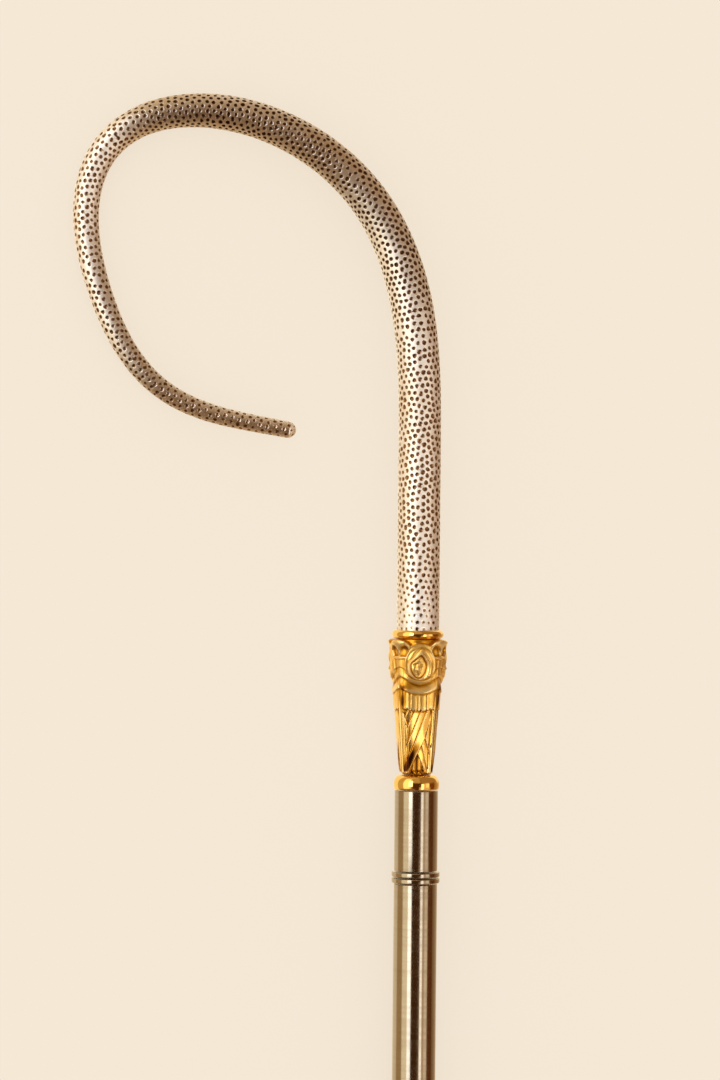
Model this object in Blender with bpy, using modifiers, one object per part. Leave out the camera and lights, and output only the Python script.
# Bishop's crosier in three lengths, lying on a flat surface: a hammered silver crook, a cast
# gilt knop with four angels between two bead rings, and a steel staff that unscrews at its
# flanged joints.
#
# Frame: the staff's axis is level and parallel to Y, with the crook at the +Y end and its
# hook towards -X. It rests on three spots: the underside of the foot ferrule, the head of
# the angel at the back of the knop, and the outside of the hook. So the whole crosier is
# rolled a little about the staff's axis. The origin is at the centre of the bounding box,
# on the surface that the crosier lies on.
#
# "Depth" below means the distance down the staff's axis from the foot of the crook, in
# metres. Depth d lies at y = -d before the frame is centred.

import bpy
import numpy as np
from math import cos, floor, pi, radians, sin, sqrt

MM = 0.001

# ---- fits -------------------------------------------------------------------
GAP = 0.3 * MM                   # between pieces that touch

# ---- crook ------------------------------------------------------------------
# How the crook is bent: (distance from its foot, radius of the bend there). The curvature
# runs evenly from one station to the next. The bend starts and ends straight.
STRAIGHT = float("inf")
CROOK_BENDS = (
    (105 * MM, STRAIGHT),
    (250 * MM, 118 * MM),
    (310 * MM, 135 * MM),
    (370 * MM, 106 * MM),
    (425 * MM, 46.0 * MM),
    (475 * MM, 112 * MM),
    (515 * MM, 242 * MM),
    (580 * MM, 70.5 * MM),
    (645 * MM, STRAIGHT),
)
# The crook's thickness: (distance from its foot, radius).
CROOK_TAPER = (
    (0 * MM, 12.3 * MM),
    (185 * MM, 12.3 * MM),
    (250 * MM, 11.4 * MM),
    (350 * MM, 10.2 * MM),
    (450 * MM, 7.8 * MM),
    (560 * MM, 6.15 * MM),
    (657 * MM, 4.8 * MM),
)
CROOK_STEPS = 50                 # lengths along the crook
CROOK_STRAIGHT_PACE = 1.5        # sets the steps' length where it is straight, per metre
CROOK_TIP_STEPS = 4              # lengths in its rounded end
CROOK_TIP_ANGLE = 78.0           # how far round the end's quarter circle is built, degrees
CROOK_SUM_STEPS = 4000           # steps in which its bends are added up
CROOK_SIDES = 24

# ---- rings ------------------------------------------------------------------
UPPER_RING_RADIUS = 14.8 * MM
UPPER_RING_HEIGHT = 4.8 * MM
UPPER_RING_BORE = 12.6 * MM      # it slides over the crook's foot
LOWER_RING_RADIUS = 13.1 * MM
LOWER_RING_HEIGHT = 8.3 * MM
# share of a ring's height above its widest place, and how far it draws in above and below
UPPER_RING_SHAPE = (0.54, 1.9 * MM, 1.7 * MM)
LOWER_RING_SHAPE = (0.66, 3.7 * MM, 0.6 * MM)
RING_ARC_STEPS = 4
RING_SIDES = 32

# ---- knop -------------------------------------------------------------------
KNOP_BOTTOM = 83.2 * MM          # depth of its foot
KNOP_TOP_WIDTH = 15.2 * MM       # half the width across flats, at the top
KNOP_FOOT_WIDTH = 9.5 * MM       # the same at the foot
KNOP_TAPER_POWER = 1.2           # over 1: fuller towards the top
KNOP_SQUARENESS = 3.0            # 2 is round, more is squarer
KNOP_NECK_RADIUS = 13.2 * MM
KNOP_RIM_AT_PANEL = 8.0 * MM     # depth of the carved rim over each head
KNOP_RIM_AT_CORNER = 5.4 * MM    # depth of the carved rim at each corner
KNOP_RIM_POWER = 1.5             # over 1: the rim rises late, near the corners
KNOP_TURN = 5.0                  # degrees that the front angel looks to the right
KNOP_COLUMNS = 16                # columns for each angel
KNOP_ROWS = 30
KNOP_SHARP_ANGLE = 35.0          # degrees; edges sharper than this stay sharp
PANEL_SHARE = 0.72               # half the width of a figure's panel, in half widths
ANGELS = 4

HEAD_DEPTH = 19.5 * MM
HEAD_REACH = 16.85 * MM          # from the staff's axis to the tip of the nose
HEAD_HALF_WIDTH = 5.0 * MM
HEAD_HALF_HEIGHT = 8.6 * MM
HOOD_PLACE = 1.45                # its rim, in half sizes of the head
HOOD_WIDTH = 0.45                # half the width of that rim, in the same measure
HOOD_HEIGHT = 0.7 * MM
MANTLE_TOP = 30.5 * MM           # depth at the panel's middle
MANTLE_BOTTOM = 36.0 * MM
MANTLE_TOP_SAG = 4.5 * MM        # how much higher its top is at the panel's edges
MANTLE_BOTTOM_SAG = 2.2 * MM
MANTLE_HEIGHT = 0.9 * MM
SHORT_FEATHERS_END = 47.5 * MM   # depth of their tips
SHORT_FEATHER_HEIGHT = 0.35 * MM
LONG_FEATHER_SLOPE = 0.42        # sideways for each unit down
LONG_FEATHER_WIDTH = 4.8 * MM
LONG_FEATHER_EDGE = 0.35         # share of its width that is its rounded edge
LONG_FEATHER_STEP = 1.1 * MM     # how far each lies below the edge of the next
OPENING_TOP = 71.0 * MM          # depth at which the wings part over the robe
OPENING_SLOPE = 0.45
OPENING_SINK = 1.2 * MM
CORNER_HEIGHT = 0.4 * MM
CORNER_GROOVE_WIDTH = 1.2 * MM
CORNER_GROOVE_SINK = 0.7 * MM

# ---- staff ------------------------------------------------------------------
TUBE_RADIUS = 12.5 * MM
HEAD_TUBE_END = 138.2 * MM       # depth of the head tube's lower end
FLANGE_RADIUS = 13.85 * MM
FLANGE_HEIGHT = 3.2 * MM
FLANGE_EDGE = 0.5 * MM           # rounding of its edges
STAFF_TUBE_LENGTH = 680 * MM     # each of the two lengths
FERRULE_LENGTH = 34 * MM
FERRULE_NECK_RADIUS = 13.1 * MM  # at its top
FERRULE_SHOE_LENGTH = 14 * MM    # its widest part, at the end
FERRULE_EDGE = 1.6 * MM
FERRULE_FLARE_STEPS = 4
TUBE_SIDES = 32

# ---- finish -----------------------------------------------------------------
# name: (colour, roughness, metallic)
SILVER = ("silver", (0.80, 0.76, 0.70), 0.30, 1.0)
GOLD = ("gilding", (0.95, 0.62, 0.18), 0.22, 1.0)
STEEL = ("brushed steel", (0.48, 0.44, 0.38), 0.32, 1.0)


# ---- the crook's line -------------------------------------------------------
def crook_curvature(distance):
    stations = [station for station, radius in CROOK_BENDS]
    curvatures = [1.0 / radius for station, radius in CROOK_BENDS]
    return np.interp(distance, stations, curvatures)


def crook_radius(distance):
    """Radius of the crook's round section, without the rounding of its end."""
    stations = [station for station, radius in CROOK_TAPER]
    radii = [radius for station, radius in CROOK_TAPER]
    return np.interp(distance, stations, radii)


def crook_line(distances):
    """Points (x, y) of the crook's centre line, found by adding up its bends."""
    fine = np.linspace(0.0, distances[-1], CROOK_SUM_STEPS)
    step = fine[1] - fine[0]
    curvature = crook_curvature(fine)
    turn = np.concatenate(([0.0], np.cumsum(0.5 * (curvature[1:] + curvature[:-1]) * step)))
    heading = 0.5 * pi + 0.5 * (turn[1:] + turn[:-1])
    x = np.concatenate(([0.0], np.cumsum(np.cos(heading) * step)))
    y = np.concatenate(([0.0], np.cumsum(np.sin(heading) * step)))
    return np.interp(distances, fine, x), np.interp(distances, fine, y)


def crook_stations():
    """Distances along the crook and the radius at each, closer where it bends more."""
    body_end = CROOK_TAPER[-1][0]
    fine = np.linspace(-UPPER_RING_HEIGHT, body_end, CROOK_SUM_STEPS)
    pace = crook_curvature(fine) + CROOK_STRAIGHT_PACE
    progress = np.concatenate(([0.0], np.cumsum(0.5 * (pace[1:] + pace[:-1]))))
    body = np.interp(np.linspace(0.0, progress[-1], CROOK_STEPS + 1), progress, fine)
    tip_radius = CROOK_TAPER[-1][1]
    angles = np.linspace(0.0, radians(CROOK_TIP_ANGLE), CROOK_TIP_STEPS + 1)[1:]
    tip = body_end + tip_radius * np.sin(angles)
    distances = np.concatenate((body, tip))
    radii = np.concatenate((crook_radius(body), tip_radius * np.cos(angles)))
    return distances, radii


# ---- how it lies ------------------------------------------------------------
AXIS_HEIGHT = HEAD_REACH         # the staff's axis above the surface


def resting_roll():
    """Roll about the staff's axis that brings the outside of the hook to the surface."""
    distances, radii = crook_stations()
    x, y = crook_line(np.maximum(distances, 0.0))
    reach = -x
    hook = reach > 0.5 * reach.max()
    return float(np.arcsin(((AXIS_HEIGHT - radii[hook]) / reach[hook]).min()))


# ---- helpers ----------------------------------------------------------------
def clear_scene():
    for old in list(bpy.data.objects):
        bpy.data.objects.remove(old, do_unlink=True)


def make_material(finish):
    name, colour, roughness, metallic = finish
    material = bpy.data.materials.new(name)
    material.use_nodes = True
    shader = material.node_tree.nodes["Principled BSDF"]
    shader.inputs["Base Color"].default_value = (*colour, 1.0)
    shader.inputs["Roughness"].default_value = roughness
    shader.inputs["Metallic"].default_value = metallic
    return material


def add_part(name, data, material, parent, depth=0.0):
    part = bpy.data.objects.new(name, data)
    collection.objects.link(part)
    data.materials.append(material)
    part.parent = parent
    part.location = (0.0, -depth, 0.0)
    return part


def arc(centre, radius, start, end, steps):
    """Points (across, along) on an arc between two angles in degrees."""
    points = []
    for i in range(steps + 1):
        angle = radians(start + (end - start) * i / steps)
        points.append((centre[0] + radius * cos(angle), centre[1] + radius * sin(angle)))
    return points


def turned_part(name, profile, sides, material, parent, depth, first_angle=0.0):
    """A piece turned about the staff's axis.

    The profile's points are (radius, distance up the axis from the depth), and run down
    the outer side. A profile that starts and ends on the axis makes a full body; a closed
    one makes a ring.
    """
    mesh = bpy.data.meshes.new(name)
    start = (cos(first_angle), sin(first_angle))
    points = [(radius * start[0], radius * start[1], height) for radius, height in profile]
    edges = [(i, i + 1) for i in range(len(points) - 1)]
    if profile[0][0] > 0.0:
        edges.append((len(points) - 1, 0))
    mesh.from_pydata(points, edges, [])
    part = add_part(name, mesh, material, parent, depth)
    part.rotation_euler = (-0.5 * pi, 0.0, 0.0)
    screw = part.modifiers.new("turn", "SCREW")
    screw.steps = sides
    screw.render_steps = sides
    screw.use_merge_vertices = True
    screw.merge_threshold = 0.00001
    screw.use_smooth_shade = True
    return part


# ---- crook and rings --------------------------------------------------------
def make_crook(parent):
    distances, radii = crook_stations()
    x, y = crook_line(np.maximum(distances, 0.0))
    y = y + np.minimum(distances, 0.0)
    curve = bpy.data.curves.new("crook", "CURVE")
    curve.dimensions = "3D"
    curve.twist_mode = "Z_UP"
    curve.bevel_depth = 1.0
    curve.bevel_resolution = CROOK_SIDES // 2 - 2
    curve.use_fill_caps = True
    spline = curve.splines.new("POLY")
    spline.points.add(len(x) - 1)
    for point, px, py, radius in zip(spline.points, x, y, radii):
        point.co = (px, py, 0.0, 1.0)
        point.radius = radius
    spline.use_smooth = True
    return add_part("crook", curve, silver, parent)


def make_bead_ring(name, outer, inner, height, shape, parent, depth):
    """A ring with a rounded outer side: two quarter ellipses that meet where it is widest.

    shape is the share of the height above the widest place, and how far the ring draws in
    above and below it.
    """
    share, draw_above, draw_below = shape
    widest = height * (1.0 - share)
    profile = []
    for index in range(RING_ARC_STEPS + 1):
        angle = radians(90.0 * index / RING_ARC_STEPS)
        profile.append((outer - draw_above * (1.0 - sin(angle)), widest + (height - widest) * cos(angle)))
    for index in range(1, RING_ARC_STEPS + 1):
        angle = radians(90.0 * index / RING_ARC_STEPS)
        profile.append((outer - draw_below * (1.0 - cos(angle)), widest - widest * sin(angle)))
    profile = [(inner, height)] + profile + [(inner, 0.0)]
    return turned_part(name, profile, RING_SIDES, gold, parent, depth + height)


# ---- knop -------------------------------------------------------------------
def bump(x):
    """A smooth hump: 1 at zero, 0 from one unit out."""
    return (1.0 - min(abs(x), 1.0) ** 2) ** 2


def step(x, width):
    """A smooth step from 0 to 1, centred on zero."""
    t = min(max(x / width + 0.5, 0.0), 1.0)
    return t * t * (3.0 - 2.0 * t)


def knop_half_width(depth):
    """Half the width across flats of the knop's plain body."""
    share = (depth - KNOP_RIM_AT_CORNER) / (KNOP_BOTTOM - KNOP_RIM_AT_CORNER)
    fullness = 1.0 - max(share, 0.0) ** KNOP_TAPER_POWER
    return KNOP_FOOT_WIDTH + (KNOP_TOP_WIDTH - KNOP_FOOT_WIDTH) * fullness


def knop_body_radius(angle, depth):
    """Radius of the plain body, a rounded square; angle is from the panel's middle."""
    power = KNOP_SQUARENESS
    roundness = (abs(cos(angle)) ** power + abs(sin(angle)) ** power) ** (-1.0 / power)
    return knop_half_width(depth) * roundness


def panel_half_width(depth):
    """Half the width of the figure's panel, between the long corner feathers."""
    return PANEL_SHARE * knop_half_width(depth)


def head_relief(u, depth):
    """Height of the head above the panel, zero outside it, and of the hood's rim round it."""
    reach = HEAD_REACH - knop_half_width(HEAD_DEPTH)
    across = u / HEAD_HALF_WIDTH
    along = (depth - HEAD_DEPTH) / HEAD_HALF_HEIGHT
    away = sqrt(across * across + along * along)
    head = reach * sqrt(max(1.0 - away * away, 0.0))
    hood = HOOD_HEIGHT * bump((away - HOOD_PLACE) / HOOD_WIDTH)
    return max(head, hood)


def wing_relief(u, depth):
    """The folded wings: mantle, short feathers, and long feathers over the robe's opening."""
    side = u / panel_half_width(depth)
    mantle_top = MANTLE_TOP - MANTLE_TOP_SAG * side * side
    mantle_bottom = MANTLE_BOTTOM - MANTLE_BOTTOM_SAG * side * side
    if depth < mantle_top:
        return 0.0
    if depth < mantle_bottom:
        return MANTLE_HEIGHT
    if depth < SHORT_FEATHERS_END:
        return SHORT_FEATHER_HEIGHT
    if abs(u) < (depth - OPENING_TOP) * OPENING_SLOPE:
        return -OPENING_SINK
    band = (u + LONG_FEATHER_SLOPE * (depth - SHORT_FEATHERS_END)) / LONG_FEATHER_WIDTH
    share = band - floor(band)
    fall = min(share / LONG_FEATHER_EDGE, (1.0 - share) / (1.0 - LONG_FEATHER_EDGE))
    return -LONG_FEATHER_STEP * fall


def corner_relief(u, depth):
    """Height of the long straight feathers down a corner, with a groove beside them."""
    beyond = (abs(u) - panel_half_width(depth)) / CORNER_GROOVE_WIDTH
    return CORNER_HEIGHT * step(beyond, 1.0) - CORNER_GROOVE_SINK * bump(beyond)


def knop_surface_radius(angle, depth):
    """Radius of the carved knop; angle is from the middle of an angel's panel."""
    plain = knop_body_radius(angle, depth)
    u = plain * sin(angle)
    if abs(u) > panel_half_width(depth) - CORNER_GROOVE_WIDTH:
        relief = corner_relief(u, depth)
    else:
        relief = wing_relief(u, depth) + head_relief(u, depth)
    # No part of the carving reaches past a square that just holds the heads.
    return min(plain + relief, HEAD_REACH / max(cos(angle), sin(abs(angle))))


def make_knop(parent):
    columns = KNOP_COLUMNS * ANGELS
    turn = radians(KNOP_TURN)
    points = []
    for row in range(KNOP_ROWS + 2):
        for column in range(columns):
            share = (column % KNOP_COLUMNS) / KNOP_COLUMNS - 0.5
            angle = 0.5 * pi * share
            corner = abs(2.0 * share) ** KNOP_RIM_POWER
            rim = KNOP_RIM_AT_PANEL + (KNOP_RIM_AT_CORNER - KNOP_RIM_AT_PANEL) * corner
            if row < 2:
                depth = UPPER_RING_HEIGHT + GAP if row == 0 else rim
                radius = KNOP_NECK_RADIUS
            else:
                depth = rim + (KNOP_BOTTOM - GAP - rim) * (row - 2) / (KNOP_ROWS - 1)
                radius = knop_surface_radius(angle, depth)
            around = 2.0 * pi * column / columns - 0.25 * pi + turn
            points.append((radius * sin(around), -depth, radius * cos(around)))
    faces = [tuple(range(columns))]
    for row in range(KNOP_ROWS + 1):
        for column in range(columns):
            a = row * columns + column
            b = row * columns + (column + 1) % columns
            faces.append((a, a + columns, b + columns, b))
    faces.append(tuple(reversed(range((KNOP_ROWS + 1) * columns, (KNOP_ROWS + 2) * columns))))
    mesh = bpy.data.meshes.new("angel_knop")
    mesh.from_pydata(points, [], faces)
    mesh.shade_smooth()
    mesh.set_sharp_from_angle(angle=radians(KNOP_SHARP_ANGLE))
    return add_part("angel_knop", mesh, gold, parent)


# ---- staff ------------------------------------------------------------------
def make_tube(name, start, end, parent):
    length = end - start - GAP
    profile = [(0.0, length), (TUBE_RADIUS, length), (TUBE_RADIUS, 0.0), (0.0, 0.0)]
    return turned_part(name, profile, TUBE_SIDES, steel, parent, end)


def make_flange(name, start, parent):
    length = FLANGE_HEIGHT - GAP
    edge = FLANGE_EDGE
    upper = arc((FLANGE_RADIUS - edge, length - edge), edge, 90, 0, 1)
    lower = arc((FLANGE_RADIUS - edge, edge), edge, 0, -90, 1)
    profile = [(0.0, length)] + upper + lower + [(0.0, 0.0)]
    return turned_part(name, profile, TUBE_SIDES, steel, parent, start + FLANGE_HEIGHT)


def make_ferrule(parent, start):
    """The foot: a turned shoe that flares to the height that keeps the staff level."""
    widest = AXIS_HEIGHT / cos(pi / TUBE_SIDES)
    length = FERRULE_LENGTH - GAP
    shoe = FERRULE_SHOE_LENGTH
    flare = length - shoe
    profile = [(0.0, length), (FERRULE_NECK_RADIUS, length)]
    for i in range(1, FERRULE_FLARE_STEPS + 1):
        share = i / FERRULE_FLARE_STEPS
        radius = FERRULE_NECK_RADIUS + (widest - FERRULE_NECK_RADIUS) * share * share
        profile.append((radius, length - flare * share))
    profile += arc((widest - FERRULE_EDGE, FERRULE_EDGE), FERRULE_EDGE, 0, -90, 2)
    profile.append((0.0, 0.0))
    half_side = pi / TUBE_SIDES
    return turned_part(
        "foot_ferrule", profile, TUBE_SIDES, steel, parent, start + FERRULE_LENGTH, half_side
    )


# ---- the whole crosier ------------------------------------------------------
def centre_on_origin(frame):
    """Move the frame so that the bounding box's bottom centre is at the origin."""
    bpy.context.view_layer.update()
    graph = bpy.context.evaluated_depsgraph_get()
    low = np.full(3, np.inf)
    high = np.full(3, -np.inf)
    for part in collection.objects:
        if part.type == "EMPTY":
            continue
        evaluated = part.evaluated_get(graph)
        mesh = evaluated.to_mesh()
        world = np.array([evaluated.matrix_world @ vertex.co for vertex in mesh.vertices])
        low = np.minimum(low, world.min(axis=0))
        high = np.maximum(high, world.max(axis=0))
        evaluated.to_mesh_clear()
    frame.location = (-0.5 * (low[0] + high[0]), -0.5 * (low[1] + high[1]), -low[2])


clear_scene()
collection = bpy.data.collections.new("bishop_crosier")
bpy.context.scene.collection.children.link(collection)
silver = make_material(SILVER)
gold = make_material(GOLD)
steel = make_material(STEEL)

frame = bpy.data.objects.new("crosier", None)
collection.objects.link(frame)
head = bpy.data.objects.new("head", None)
collection.objects.link(head)
head.parent = frame
head.rotation_euler = (0.0, -resting_roll(), 0.0)

make_crook(head)
make_bead_ring(
    "upper_ring", UPPER_RING_RADIUS, UPPER_RING_BORE, UPPER_RING_HEIGHT, UPPER_RING_SHAPE, frame, 0.0
)
make_knop(head)
make_bead_ring(
    "lower_ring", LOWER_RING_RADIUS, 0.0, LOWER_RING_HEIGHT, LOWER_RING_SHAPE, frame, KNOP_BOTTOM
)

place = KNOP_BOTTOM + LOWER_RING_HEIGHT + GAP
make_tube("head_tube", place, HEAD_TUBE_END, frame)
place = HEAD_TUBE_END + GAP
for tube_name, upper_flange, lower_flange in (
    ("upper_staff_tube", "head_flange", "staff_flange"),
    ("lower_staff_tube", "middle_flange_upper", "middle_flange_lower"),
):
    make_flange(upper_flange, place, frame)
    place += FLANGE_HEIGHT + GAP
    make_flange(lower_flange, place, frame)
    place += FLANGE_HEIGHT + GAP
    make_tube(tube_name, place, place + STAFF_TUBE_LENGTH, frame)
    place += STAFF_TUBE_LENGTH + GAP
make_ferrule(frame, place)
centre_on_origin(frame)
